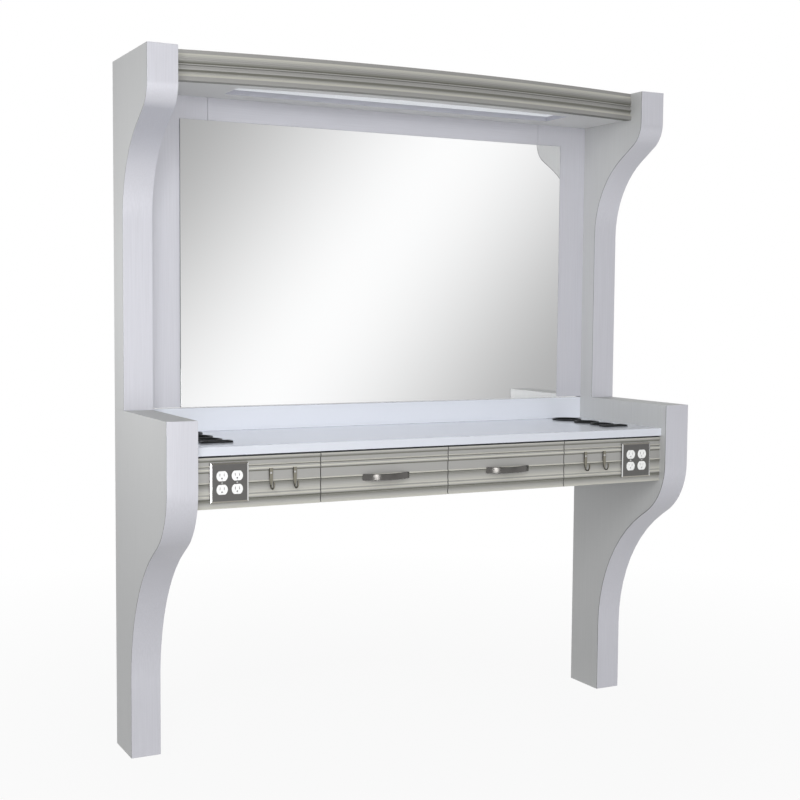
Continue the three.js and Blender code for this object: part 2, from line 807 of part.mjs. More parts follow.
for (const { side, sign } of sides) {
  const boxY = drawerLength / 2 - drawerBack;
  const handleZ = fasciaMiddle - handleDrop;
  const drawer = new THREE.Group();
  drawer.position.x = sign * partitionSpacing / 2;
  station.add(drawer);
  place(drawer, `${side}_drawer_front`, fasciaGeometry(drawerFrontWidth, drawerBack), flutedSilver);
  place(drawer, `${side}_drawer_box`, drawerBoxGeometry(), carcassBoard, 0, boxY, drawerFloor);
  place(drawer, `${side}_drawer_handle`, handleGeometry(), brushedSteel, 0, -fasciaDepth, handleZ);

  for (const { hand, turn } of [{ hand: 'outer', turn: sign }, { hand: 'inner', turn: -sign }]) {
    const wallX = turn * drawerSpace / 2;
    const boxX = wallX - turn * runnerSpace;
    const runnerZ = drawerFloor + runnerCentre;
    const cabinetOutline = channelOutline(wallX, wallX - turn * runnerReach, runnerWall, runnerHeight / 2);
    const nestedHalf = runnerHeight / 2 - runnerWall - fitGap;
    const nestedLip = wallX - turn * (runnerWall + 2 * fitGap);
    const drawerOutline = channelOutline(boxX, nestedLip, runnerWall, nestedHalf);
    const cabinetRunner = towardsFront(cabinetOutline, drawerLength);
    const drawerRunner = towardsFront(drawerOutline, drawerLength);
    const cabinetY = drawerLength - fasciaBack;
    const drawerY = drawerLength - drawerBack;
    place(drawer, `${side}_${hand}_cabinet_runner`, cabinetRunner, zincSteel, 0, cabinetY, runnerZ);
    place(drawer, `${side}_${hand}_drawer_runner`, drawerRunner, zincSteel, 0, drawerY, runnerZ);
  }
}

export default group;
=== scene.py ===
import math

import bmesh
import bpy
from mathutils import Matrix, Vector


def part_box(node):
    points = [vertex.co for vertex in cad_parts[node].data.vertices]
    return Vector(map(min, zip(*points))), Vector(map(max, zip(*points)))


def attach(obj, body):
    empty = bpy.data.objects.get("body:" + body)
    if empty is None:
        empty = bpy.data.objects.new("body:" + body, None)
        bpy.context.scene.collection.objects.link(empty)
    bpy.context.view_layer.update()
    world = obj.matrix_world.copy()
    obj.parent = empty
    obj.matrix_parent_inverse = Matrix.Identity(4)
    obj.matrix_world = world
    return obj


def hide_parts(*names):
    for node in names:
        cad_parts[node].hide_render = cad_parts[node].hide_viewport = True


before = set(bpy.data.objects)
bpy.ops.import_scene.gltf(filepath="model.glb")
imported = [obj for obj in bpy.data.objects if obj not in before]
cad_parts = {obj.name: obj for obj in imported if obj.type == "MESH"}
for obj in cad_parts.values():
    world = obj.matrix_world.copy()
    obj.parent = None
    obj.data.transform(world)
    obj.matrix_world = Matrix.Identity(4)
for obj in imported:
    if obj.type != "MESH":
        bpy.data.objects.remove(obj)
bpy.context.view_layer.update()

# Side panels: hollow board-and-rib panels in silver laminate with a fine upright grain.
# Each is sawn to its ogee, and its front edge is closed by a bent laminate band glued on.
# The cut edge of the band shows as a thin dark line, and the tops are painted darker than the faces as
# painted shade, for light that falls from the front.
MERGE_GAP = 1e-5
FLAT_ANGLE = math.radians(0.5)
CORNER_ANGLE = math.radians(50)
SMOOTH_UNDER = 30.0
FLAT_FACE_WEIGHT = 100
SQUARE_ON = 0.99
PANEL_ROUND = 0.0008
GRAIN_DETAIL = 4.0
GRAIN_HEIGHT = 0.0005
UPRIGHT_GRAIN = (420.0, 420.0, 5.0)
TOP_GRAIN = (420.0, 5.0, 420.0)
CORE_SPECKS = (600.0, 600.0, 600.0)
BAND_SILVER = (0.585, 0.585, 0.63)
FACE_SILVER = (0.58, 0.586, 0.585)
BAND_CORE = (0.21, 0.205, 0.20)
TOP_FACE_SHADE = (0.42, 0.425, 0.42)
scene = bpy.context.scene


def finish_of(name, colour, roughness, metallic=0.0):
    """A finish of one colour and one gloss, before it gets its pattern."""
    finish = bpy.data.materials.new(name)
    finish.use_nodes = True
    shader = finish.node_tree.nodes["Principled BSDF"]
    shader.inputs["Base Color"].default_value = (*colour, 1.0)
    shader.inputs["Roughness"].default_value = roughness
    shader.inputs["Metallic"].default_value = metallic
    return finish


def add_grain(finish, stretch, contrast, relief):
    """Varies a finish's colour with noise, drawn out where the stretch is low, and raises it a little."""
    nodes, links = finish.node_tree.nodes, finish.node_tree.links
    shader = nodes["Principled BSDF"]
    colour = shader.inputs["Base Color"].default_value[:3]
    place = nodes.new("ShaderNodeTexCoord")
    drawn_out = nodes.new("ShaderNodeMapping")
    drawn_out.inputs["Scale"].default_value = stretch
    streaks = nodes.new("ShaderNodeTexNoise")
    streaks.inputs["Scale"].default_value = 1.0
    streaks.inputs["Detail"].default_value = GRAIN_DETAIL
    tint = nodes.new("ShaderNodeMix")
    tint.data_type = "RGBA"
    tint.inputs["A"].default_value = (*[c * (1.0 - contrast) for c in colour], 1.0)
    tint.inputs["B"].default_value = (*[min(1.0, c * (1.0 + contrast)) for c in colour], 1.0)
    raised = nodes.new("ShaderNodeBump")
    raised.inputs["Strength"].default_value = relief
    raised.inputs["Distance"].default_value = GRAIN_HEIGHT
    links.new(place.outputs["Object"], drawn_out.inputs["Vector"])
    links.new(drawn_out.outputs["Vector"], streaks.inputs["Vector"])
    links.new(streaks.outputs["Fac"], tint.inputs["Factor"])
    links.new(tint.outputs["Result"], shader.inputs["Base Color"])
    links.new(streaks.outputs["Fac"], raised.inputs["Height"])
    links.new(raised.outputs["Normal"], shader.inputs["Normal"])


def make_piece(name, bm, finishes, body="station", smooth=SMOOTH_UNDER):
    """Closes a bmesh into a piece of the station, smooth except at its sharp edges."""
    bmesh.ops.remove_doubles(bm, verts=bm.verts, dist=MERGE_GAP)
    bmesh.ops.recalc_face_normals(bm, faces=bm.faces)
    for face in bm.faces:
        face.smooth = True
    mesh = bpy.data.meshes.new(name)
    bm.to_mesh(mesh)
    bm.free()
    mesh.set_sharp_from_angle(angle=math.radians(smooth))
    for finish in finishes:
        mesh.materials.append(finish)
    made = bpy.data.objects.new(name, mesh)
    scene.collection.objects.link(made)
    flat_faces = made.modifiers.new("flat_faces", "WEIGHTED_NORMAL")
    flat_faces.weight = FLAT_FACE_WEIGHT
    flat_faces.keep_sharp = True
    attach(made, body)
    return made


def stand_for(node, name, bm, finishes, body="station", smooth=SMOOTH_UNDER):
    """A finished piece in place of a node."""
    made = make_piece(name, bm, finishes, body, smooth)
    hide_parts(node)


def merged_form(node):
    """A node's own form with its triangles merged into whole faces."""
    bm = bmesh.new()
    bm.from_mesh(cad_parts[node].data)
    bmesh.ops.remove_doubles(bm, verts=bm.verts, dist=MERGE_GAP)
    bmesh.ops.dissolve_limit(bm, angle_limit=FLAT_ANGLE, verts=bm.verts, edges=bm.edges)
    return bm


def round_edges(bm, edges, size, segments=2):
    """Rounds edges over, or chamfers them where there is one segment."""
    bmesh.ops.bevel(
        bm,
        geom=edges,
        offset=size,
        offset_type="OFFSET",
        segments=segments,
        profile=0.5,
        affect="EDGES",
        clamp_overlap=True,
        material=-1,
    )


def node_form(node, round_over):
    """A node's own form with all its corners rounded over."""
    bm = merged_form(node)
    corners = [e for e in bm.edges if e.is_manifold and e.calc_face_angle() > CORNER_ANGLE]
    round_edges(bm, corners, round_over)
    return bm


def give_second_finish(bm, picked):
    """Gives the second finish to the faces that are picked, and the first to all others."""
    for face in bm.faces:
        face.material_index = 1 if picked(face) else 0


silver_laminate = finish_of("silver_laminate", BAND_SILVER, roughness=0.36, metallic=0.3)
add_grain(silver_laminate, UPRIGHT_GRAIN, contrast=0.09, relief=0.12)
face_laminate = finish_of("face_laminate", FACE_SILVER, roughness=0.42, metallic=0.2)
add_grain(face_laminate, UPRIGHT_GRAIN, contrast=0.07, relief=0.1)
band_core = finish_of("band_core", BAND_CORE, roughness=0.6)
add_grain(band_core, CORE_SPECKS, contrast=0.2, relief=0.05)
top_face_painted_shade = finish_of("top_face_painted_shade", TOP_FACE_SHADE, roughness=0.45)
add_grain(top_face_painted_shade, TOP_GRAIN, contrast=0.06, relief=0.05)

for side in ("left", "right"):
    for half in ("lower", "upper"):
        node = f"{side}_{half}_panel"
        panel = node_form(node, PANEL_ROUND)
        # Painted shade: the up-facing tops get the darker finish.
        give_second_finish(panel, lambda face: face.normal.z > SQUARE_ON)
        stand_for(node, node + "_finished", panel, [face_laminate, top_face_painted_shade])
        node = f"{side}_{half}_band"
        band = node_form(node, PANEL_ROUND)
        give_second_finish(band, lambda face: abs(face.normal.x) > SQUARE_ON)
        stand_for(node, node + "_finished", band, [silver_laminate, band_core])

# Back boards: three silver laminate boards butted between the upper panels, screwed from behind.
# The outer two have the panels' upright grain, the wide centre one has it lying across,
# and two hairline seams show above the mirror.
BOARD_ROUND = 0.0004
CROSS_GRAIN = (5.0, 420.0, 420.0)


def dress(node, finish, round_over, body="station", smooth=SMOOTH_UNDER):
    """A piece with a node's own form and one finish, in place of the node."""
    stand_for(node, node + "_finished", node_form(node, round_over), [finish], body, smooth)


cross_laminate = finish_of("cross_laminate", BAND_SILVER, roughness=0.36, metallic=0.3)
add_grain(cross_laminate, CROSS_GRAIN, contrast=0.09, relief=0.12)
dress("left_back_board", silver_laminate, BOARD_ROUND)
dress("centre_back_board", cross_laminate, BOARD_ROUND)
dress("right_back_board", silver_laminate, BOARD_ROUND)

# Mirror: one frameless sheet of silvered glass, glued to the back boards.
# Its edges are ground flat and polished, and show the dark green of the glass.
ARRIS = 0.0008
TURNED_TO = 0.5
SILVERING = (0.975, 0.978, 0.98)
SILVERING_CLOUDS = (3.0, 3.0, 3.0)
GLASS_EDGE = (0.10, 0.13, 0.125)
GLASS_EDGE_CLOUDS = (60.0, 60.0, 60.0)
silvering = finish_of("silvering", SILVERING, roughness=0.01, metallic=1.0)
add_grain(silvering, SILVERING_CLOUDS, contrast=0.005, relief=0.0)
glass_edge = finish_of("glass_edge", GLASS_EDGE, roughness=0.08)
add_grain(glass_edge, GLASS_EDGE_CLOUDS, contrast=0.06, relief=0.0)
sheet = node_form("mirror", ARRIS)
give_second_finish(sheet, lambda face: face.normal.y >= -TURNED_TO)
stand_for("mirror", "mirror_sheet", sheet, [silvering, glass_edge])

# Crown moulding: a fluted strip bent forward in a bow between the upper panels.
# It is milled board under a satin silver-beige foil, with light and shade painted on by how each face is
# turned: what faces up is painted light and what faces down is painted dark.
FLUTE_ROUND = 0.0005
FLUTE_SMOOTH = 28.0
STEEPEST_FLUTE = 0.5
FLUTE_GRAIN = (10.0, 420.0, 420.0)
FOIL = (0.92, 0.92, 0.92)
# Painted light and shade on the flutes: faces turned up take the lit tone, faces turned down the shaded
# tone.
FLUTE_LIT_TONE = (0.64, 0.63, 0.56)
FLUTE_LEVEL_TONE = (0.405, 0.40, 0.385)
FLUTE_SHADED_TONE = (0.19, 0.19, 0.16)
# Painted shadow along the top of the fluted fronts, under the counter.
GAP_SHADOW_TONE = (0.07, 0.075, 0.08)
# Painted shade: the crown's painted tones are darkened by this factor, as the lamps light it more than the
# fronts below.
CROWN_SHADE_SCALE = 0.78

fluted_silver = finish_of("fluted_silver", FOIL, roughness=0.4, metallic=0.3)
add_grain(fluted_silver, FLUTE_GRAIN, contrast=0.05, relief=0.02)
nodes, links = fluted_silver.node_tree.nodes, fluted_silver.node_tree.links
# The painted shading is multiplied into the foil's colour.
painted_shading = nodes.new("ShaderNodeAttribute")
painted_shading.attribute_name = "painted_shading"
shading_painted_on = nodes.new("ShaderNodeMix")
shading_painted_on.data_type = "RGBA"
shading_painted_on.blend_type = "MULTIPLY"
shading_painted_on.inputs["Factor"].default_value = 1.0
links.new(painted_shading.outputs["Color"], shading_painted_on.inputs["A"])
links.new(nodes["Mix"].outputs["Result"], shading_painted_on.inputs["B"])
links.new(shading_painted_on.outputs["Result"], nodes["Principled BSDF"].inputs["Base Color"])


def paint_flute_shading(bm, strength, gap_shadow_from):
    """Paints light and shade on each face of a moulding by how far it is turned up or down, and a painted
    shadow above the given height.
    """
    tone = bm.loops.layers.float_color.new("painted_shading")
    bm.normal_update()
    for face in bm.faces:
        lift = max(-1.0, min(1.0, face.normal.z / STEEPEST_FLUTE))
        end = FLUTE_LIT_TONE if lift > 0.0 else FLUTE_SHADED_TONE
        colour = Vector(FLUTE_LEVEL_TONE).lerp(Vector(end), abs(lift)) * strength
        if face.calc_center_median().z > gap_shadow_from:
            colour = GAP_SHADOW_TONE
        for loop in face.loops:
            loop[tone] = (*colour, 1.0)


def dress_fluted(node, body="station", strength=1.0, gap_shadow_depth=0.0):
    """A moulding with painted shading in place of its node and, given a depth, a painted shadow strip along
    its top.
    """
    bm = node_form(node, FLUTE_ROUND)
    gap_shadow_from = math.inf
    if gap_shadow_depth:
        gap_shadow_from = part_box(node)[1].z - gap_shadow_depth
        whole = bm.verts[:] + bm.edges[:] + bm.faces[:]
        bmesh.ops.bisect_plane(bm, geom=whole, plane_co=(0.0, 0.0, gap_shadow_from), plane_no=(0.0, 0.0, 1.0))
    paint_flute_shading(bm, strength, gap_shadow_from)
    stand_for(node, node + "_finished", bm, [fluted_silver], body, FLUTE_SMOOTH)


dress_fluted("crown_moulding", strength=CROWN_SHADE_SCALE)

# Canopy boards: the soffit with its light opening, and the plain board that closes the top.
# Both are let in between the panels behind the crown; only the soffit is faced with laminate.
CARCASS_ROUND = 0.0006
CARCASS = (0.62, 0.61, 0.58)
CARCASS_SPECKS = (60.0, 60.0, 60.0)
SOFFIT = (0.76, 0.76, 0.75)
SOFFIT_EDGE_SHADED = (0.46, 0.46, 0.51)
soffit_laminate = finish_of("soffit_laminate", SOFFIT, roughness=0.42)
add_grain(soffit_laminate, CROSS_GRAIN, contrast=0.05, relief=0.08)
soffit_edge_shaded = finish_of("soffit_edge_shaded", SOFFIT_EDGE_SHADED, roughness=0.5)
add_grain(soffit_edge_shaded, CROSS_GRAIN, contrast=0.06, relief=0.05)
carcass_board = finish_of("carcass_board", CARCASS, roughness=0.6)
add_grain(carcass_board, CARCASS_SPECKS, contrast=0.03, relief=0.05)
soffit = node_form("canopy_soffit", CARCASS_ROUND)
# The opening's upright edges are lavender laminate like the bands, painted darker than it as shade in the
# opening.
give_second_finish(soffit, lambda face: abs(face.normal.z) < TURNED_TO)
stand_for(
    "canopy_soffit", "canopy_soffit_finished", soffit, [soffit_laminate, soffit_edge_shaded]
)
dress("canopy_top", carcass_board, CARCASS_ROUND)

# Light: a fluorescent tube in a white steel batten under the top board.
# A prismatic acrylic lens lies loose on the soffit over the opening and spreads the light.
SHEET_ROUND = 0.0004
TUBE_ROUND = 0.0006
PRISM_PITCH = 0.009
PRISM_HEIGHT = 0.002
PRISM_RELIEF = 0.9
LENS_LIGHT = (0.90, 0.92, 0.94)
LENS_DARK = (0.50, 0.51, 0.53)
COOL_WHITE = (0.95, 0.98, 1.0)
LENS_GLOW = 0.36
TUBE_GLOW = 2.0
WHITE_STEEL = (0.78, 0.78, 0.78)
PAINT_SPECKS = (300.0, 300.0, 300.0)
TUBE_GLASS = (0.9, 0.9, 0.9)
TUBE_CLOUDS = (40.0, 200.0, 200.0)


def add_glow(finish, strength):
    """Lets a finish give off the cool white light of the tube."""
    shader = finish.node_tree.nodes["Principled BSDF"]
    shader.inputs["Emission Color"].default_value = (*COOL_WHITE, 1.0)
    shader.inputs["Emission Strength"].default_value = strength


lens_acrylic = finish_of("lens_acrylic", LENS_LIGHT, roughness=0.2)
add_glow(lens_acrylic, LENS_GLOW)
nodes, links = lens_acrylic.node_tree.nodes, lens_acrylic.node_tree.links
shader = nodes["Principled BSDF"]
place = nodes.new("ShaderNodeTexCoord")
prisms = nodes.new("ShaderNodeTexVoronoi")
prisms.distance = "CHEBYCHEV"
prisms.inputs["Scale"].default_value = 1.0 / PRISM_PITCH
prisms.inputs["Randomness"].default_value = 0.0
grooves = nodes.new("ShaderNodeMix")
grooves.data_type = "RGBA"
grooves.inputs["A"].default_value = (*LENS_LIGHT, 1.0)
grooves.inputs["B"].default_value = (*LENS_DARK, 1.0)
facets = nodes.new("ShaderNodeBump")
facets.inputs["Strength"].default_value = PRISM_RELIEF
facets.inputs["Distance"].default_value = PRISM_HEIGHT
links.new(place.outputs["Object"], prisms.inputs["Vector"])
links.new(prisms.outputs["Distance"], grooves.inputs["Factor"])
links.new(prisms.outputs["Distance"], facets.inputs["Height"])
links.new(grooves.outputs["Result"], shader.inputs["Base Color"])
links.new(facets.outputs["Normal"], shader.inputs["Normal"])
dress("light_lens", lens_acrylic, SHEET_ROUND)

white_steel = finish_of("white_steel", WHITE_STEEL, roughness=0.35)
add_grain(white_steel, PAINT_SPECKS, contrast=0.02, relief=0.03)
dress("light_batten", white_steel, SHEET_ROUND)
lit_tube = finish_of("lit_tube", TUBE_GLASS, roughness=0.3)
add_grain(lit_tube, TUBE_CLOUDS, contrast=0.02, relief=0.0)
add_glow(lit_tube, TUBE_GLOW)
dress("light_tube", lit_tube, TUBE_ROUND)

# Counter and splash: bluish white laminate on board, with slightly eased edges.
# The counter is bored for the tool holders, and the splash stands on its rear edge.
COUNTER_ROUND = 0.0016
SPLASH_ROUND = 0.0012
COUNTER = (0.685, 0.71, 0.77)
COUNTER_CLOUDS = (90.0, 90.0, 90.0)
white_laminate = finish_of("white_laminate", COUNTER, roughness=0.14)
add_grain(white_laminate, COUNTER_CLOUDS, contrast=0.012, relief=0.01)
dress("counter_top", white_laminate, COUNTER_ROUND)
dress("splash_board", white_laminate, SPLASH_ROUND)

# Tool holders: moulded black sleeves, open below, dropped through the counter on a round flange.
# One large and two smaller round ones stand in line, with a flat slot at the front.
FLANGE_ROUND = 0.0022
FLANGE_ROUND_STEPS = 5
FLANGE_LAP = 0.006
SLEEVE_WALL = 0.002
TURN_STEPS = 96
SLOT_ROUND = 0.0012
HOLDER_SMOOTH = 40.0
BLACK = (0.010, 0.011, 0.012)
BLACK_SHINE = 0.2
FINE_SPECKS = (900.0, 900.0, 900.0)
black_plastic = finish_of("black_plastic", BLACK, roughness=0.42)
add_grain(black_plastic, FINE_SPECKS, contrast=0.1, relief=0.03)
black_plastic.node_tree.nodes["Principled BSDF"].inputs["Specular IOR Level"].default_value = BLACK_SHINE
counter_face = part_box("counter_top")[1].z

for side in ("left", "right"):
    for holder in ("dryer", "wide_iron", "slim_iron"):
        node = f"{side}_{holder}_holder"
        low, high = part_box(node)
        centre = (low + high) / 2
        flange = (high.x - low.x) / 2
        sleeve = flange - FLANGE_LAP
        bore = sleeve - SLEEVE_WALL
        section = [
            (bore, low.z),
            (sleeve, low.z),
            (sleeve, counter_face),
            (flange, counter_face),
            (flange, high.z),
            (bore, high.z),
        ]
        bm = bmesh.new()
        ring = [bm.verts.new((centre.x + radius, centre.y, height)) for radius, height in section]
        for start, end in zip(ring, ring[1:] + ring[:1]):
            bm.edges.new((start, end))
        bmesh.ops.spin(
            bm,
            geom=bm.verts[:] + bm.edges[:],
            cent=(centre.x, centre.y, 0.0),
            axis=(0.0, 0.0, 1.0),
            angle=2.0 * math.pi,
            steps=TURN_STEPS,
            use_merge=True,
        )
        bmesh.ops.remove_doubles(bm, verts=bm.verts, dist=MERGE_GAP)
        bmesh.ops.recalc_face_normals(bm, faces=bm.faces)
        top_edges = [
            e for e in bm.edges
            if all(abs(v.co.z - high.z) < MERGE_GAP for v in e.verts) and e.calc_face_angle() > CORNER_ANGLE
        ]
        round_edges(bm, top_edges, FLANGE_ROUND, FLANGE_ROUND_STEPS)
        stand_for(node, node + "_moulded", bm, [black_plastic], smooth=HOLDER_SMOOTH)
    dress(f"{side}_slot_holder", black_plastic, SLOT_ROUND, smooth=HOLDER_SMOOTH)

# Carcass: the rear apron and three partitions, plain melamine board screwed under the counter.
# The partitions carry the drawer runners.
for board in ("rear_apron", "left_partition", "centre_partition", "right_partition"):
    dress(board, carcass_board, CARCASS_ROUND)

# End fascias: the fixed fluted fronts at each end, cut through for the outlets.
# They are the same foil-wrapped moulding as the crown, glued to the counter and partitions.
# A thin strip along the top of each fluted front is painted near black: painted shadow of the gap under the
# counter.
GAP_SHADOW_DEPTH = 0.0024
for side in ("left", "right"):
    dress_fluted(f"{side}_end_fascia", gap_shadow_depth=GAP_SHADOW_DEPTH)

# Outlets: brushed stainless plates over two duplex receptacles each, in a zinc-plated box.
# The sloped plate edges are lighter copies of the plate's steel, a painted highlight on the side slopes and
# a dimmer painted sheen on the top and bottom slopes, and two screws between the outlet faces hold the
# plate.
PLATE_BEVEL = 0.0038
PLATE_SLOPE = 0.0042
PLATE_FALL = 0.0009
PLATE_SIDE = 0.05
PLATE_SMOOTH = 12.0
LEVEL_FACE = 0.98
SQUARE_FACE = 0.2
RECEPTACLE_ROUND = 0.0004
SLOT_DEPTH = 0.001
SCREW_RADIUS = 0.0032
SCREW_HEIGHT = 0.0012
SCREW_TAPER = 0.72
SCREW_SIDES = 32
SCREW_SMOOTH = 35.0
FACING_FRONT = Matrix.Rotation(math.radians(90), 4, "X")
UPRIGHT_BRUSH = (1800.0, 1800.0, 40.0)
CROSS_BRUSH = (40.0, 1800.0, 1800.0)
MOULD_SPECKS = (700.0, 700.0, 700.0)
ZINC_SPANGLE = (120.0, 120.0, 120.0)
PLATE_STEEL = (0.155, 0.152, 0.148)
SIDE_BEVEL_HIGHLIGHT = (0.7, 0.7, 0.7)
CROSS_BEVEL_SHEEN = (0.34, 0.325, 0.29)
RECEPTACLE_WHITE = (0.93, 0.93, 0.92)
SLOT_SHADE = (0.05, 0.05, 0.05)
ZINC = (0.5, 0.52, 0.54)
SCREW_STEEL = (0.55, 0.55, 0.54)
brushed_steel = finish_of("brushed_steel", PLATE_STEEL, roughness=0.28, metallic=1.0)
add_grain(brushed_steel, UPRIGHT_BRUSH, contrast=0.14, relief=0.1)
side_bevel_painted_highlight = finish_of("side_bevel_painted_highlight", SIDE_BEVEL_HIGHLIGHT, roughness=0.16, metallic=1.0)
add_grain(side_bevel_painted_highlight, UPRIGHT_BRUSH, contrast=0.05, relief=0.03)
cross_bevel_painted_sheen = finish_of("cross_bevel_painted_sheen", CROSS_BEVEL_SHEEN, roughness=0.2, metallic=1.0)
add_grain(cross_bevel_painted_sheen, CROSS_BRUSH, contrast=0.14, relief=0.1)
white_plastic = finish_of("white_plastic", RECEPTACLE_WHITE, roughness=0.3)
add_grain(white_plastic, MOULD_SPECKS, contrast=0.015, relief=0.02)
slot_shade = finish_of("slot_shade", SLOT_SHADE, roughness=0.6)
add_grain(slot_shade, MOULD_SPECKS, contrast=0.1, relief=0.0)
zinc_steel = finish_of("zinc_steel", ZINC, roughness=0.35, metallic=0.9)
add_grain(zinc_steel, ZINC_SPANGLE, contrast=0.12, relief=0.05)
screw_steel = finish_of("screw_steel", SCREW_STEEL, roughness=0.25, metallic=1.0)
add_grain(screw_steel, FINE_SPECKS, contrast=0.08, relief=0.05)


def screw_head(name, centre, radius):
    """A round screw head, tapered towards the front that it faces."""
    bm = bmesh.new()
    bmesh.ops.create_cone(
        bm,
        cap_ends=True,
        segments=SCREW_SIDES,
        radius1=radius,
        radius2=radius * SCREW_TAPER,
        depth=SCREW_HEIGHT,
        matrix=Matrix.Translation(centre) @ FACING_FRONT,
    )
    make_piece(name, bm, [screw_steel], smooth=SCREW_SMOOTH)


for side in ("left", "right"):
    plate_node = f"{side}_outlet_plate"
    plate_low, plate_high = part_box(plate_node)
    plate = merged_form(plate_node)
    rim = [
        e for e in plate.edges
        if e.calc_face_angle() > CORNER_ANGLE
        and e.calc_length() > PLATE_SIDE
        and all(v.co.y < plate_low.y + MERGE_GAP for v in e.verts)
    ]
    round_edges(plate, rim, PLATE_BEVEL, segments=1)
    # The rim is pressed back only by its fall, and the flat's corners move in to the width of the slope.
    plate_middle = (plate_low + plate_high) / 2
    flat_half = (plate_high - plate_low) / 2 - Vector((PLATE_BEVEL, 0.0, PLATE_BEVEL))
    for vert in plate.verts:
        out = vert.co - plate_middle
        if abs(vert.co.y - plate_low.y - PLATE_BEVEL) < MERGE_GAP:
            vert.co.y = plate_low.y + PLATE_FALL
        elif abs(abs(out.x) - flat_half.x) < MERGE_GAP and abs(abs(out.z) - flat_half.z) < MERGE_GAP:
            vert.co.x -= math.copysign(PLATE_SLOPE - PLATE_BEVEL, out.x)
            vert.co.z -= math.copysign(PLATE_SLOPE - PLATE_BEVEL, out.z)
    plate.normal_update()
    # Painted light on the sloped rim: side slopes get the highlight finish, top and bottom slopes the sheen
    # finish.
    for face in plate.faces:
        sloped = -LEVEL_FACE < face.normal.y < -SQUARE_FACE
        upright = abs(face.normal.x) > abs(face.normal.z)
        face.material_index = (1 if upright else 2) if sloped else 0
    plate_finishes = [brushed_steel, side_bevel_painted_highlight, cross_bevel_painted_sheen]
    stand_for(
        plate_node, f"{side}_plate_pressed", plate, plate_finishes, smooth=PLATE_SMOOTH
    )
    dress(f"{side}_outlet_box", zinc_steel, SHEET_ROUND)
    for hand in ("inner", "outer"):
        node = f"{side}_{hand}_receptacle"
        low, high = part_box(node)
        slot_floor = low.y + SLOT_DEPTH
        receptacle = node_form(node, RECEPTACLE_ROUND)
        give_second_finish(
            receptacle,
            lambda face: face.calc_center_median().y > slot_floor and face.normal.y < -TURNED_TO,
        )
        stand_for(node, node + "_moulded", receptacle, [white_plastic, slot_shade])
        centre = Vector(((low.x + high.x) / 2, plate_low.y - SCREW_HEIGHT / 2, (low.z + high.z) / 2))
        screw_head(f"{side}_{hand}_plate_screw", centre, SCREW_RADIUS)

# Tool hooks: flat steel straps with a thin nickel plating, narrowed and bent into a J.
# The side faces and chamfers are painted near black as painted shade and dark reflection, and one screw
# near the top holds each hook to the fascia.
HOOK_CHAMFER = 0.0022
HOOK_STRAP = 0.0025
HOOK_SCREW_DROP = 0.014
HOOK_SCREW_RADIUS = 0.0036
HOOK_SIDE = 0.9
HOOK_FRONT = 0.3
HOOK_STEEL = (0.27, 0.255, 0.21)
HOOK_SIDE_SHADE = (0.02, 0.02, 0.018)
hook_steel = finish_of("hook_steel", HOOK_STEEL, roughness=0.3, metallic=1.0)
add_grain(hook_steel, UPRIGHT_BRUSH, contrast=0.14, relief=0.1)
hook_side_painted_shade = finish_of("hook_side_painted_shade", HOOK_SIDE_SHADE, roughness=0.35, metallic=1.0)
add_grain(hook_side_painted_shade, FINE_SPECKS, contrast=0.3, relief=0.05)
for side in ("left", "right"):
    for hand in ("outer", "inner"):
        node = f"{side}_{hand}_hook"
        low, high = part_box(node)
        hook = merged_form(node)
        front_edges = [
            e for e in hook.edges
            if e.is_manifold
            and max(abs(f.normal.x) for f in e.link_faces) > HOOK_SIDE
            and min(f.normal.y for f in e.link_faces) < -HOOK_FRONT
        ]
        round_edges(hook, front_edges, HOOK_CHAMFER, segments=1)
        hook.normal_update()
        # Painted shade and dark reflection: the faces turned sideways get the near-black finish.
        give_second_finish(hook, lambda face: abs(face.normal.x) > TURNED_TO)
        stand_for(node, node + "_finished", hook, [hook_steel, hook_side_painted_shade])
        strap_face = high.y - HOOK_STRAP - SCREW_HEIGHT / 2
        centre = Vector(((low.x + high.x) / 2, strap_face, high.z - HOOK_SCREW_DROP))
        screw_head(f"{side}_{hand}_hook_screw", centre, HOOK_SCREW_RADIUS)

# Drawers: fluted fronts on plain melamine boxes, running on zinc-plated side runners.
# A bow handle of dark polished nickel is bolted through each front.
HANDLE_ROUND = 0.0016
RUNNER_ROUND = 0.0003
HANDLE_NICKEL = (0.12, 0.115, 0.11)
HANDLE_BRUSH = (40.0, 900.0, 900.0)
dark_nickel = finish_of("dark_nickel", HANDLE_NICKEL, roughness=0.2, metallic=1.0)
add_grain(dark_nickel, HANDLE_BRUSH, contrast=0.15, relief=0.05)
for side in ("left", "right"):
    drawer = f"{side}_drawer"
    # The fronts carry the same painted shading and painted gap shadow as the end fascias.
    dress_fluted(f"{side}_drawer_front", drawer, gap_shadow_depth=GAP_SHADOW_DEPTH)
    dress(f"{side}_drawer_box", carcass_board, CARCASS_ROUND, drawer)
    dress(f"{side}_drawer_handle", dark_nickel, HANDLE_ROUND, drawer)
    for hand in ("outer", "inner"):
        dress(f"{side}_{hand}_cabinet_runner", zinc_steel, RUNNER_ROUND)
        dress(f"{side}_{hand}_drawer_runner", zinc_steel, RUNNER_ROUND, drawer)

# Floor and daylight: a pale seamless floor under an even white sky.
# The sky and floor show white to the camera and in the mirror, and the floor keeps the shadow,
# which fades out with the distance from the station.
FLOOR_HALF = 30.0
FLOOR_GREY = (0.40, 0.40, 0.40)
SHADOW_REACH = (0.9, 3.2)
FLOOR_SHARE = (0.93, 1.0)
SKY_COLOUR = (0.97, 0.98, 1.0)
SKY_LIGHT = 0.373


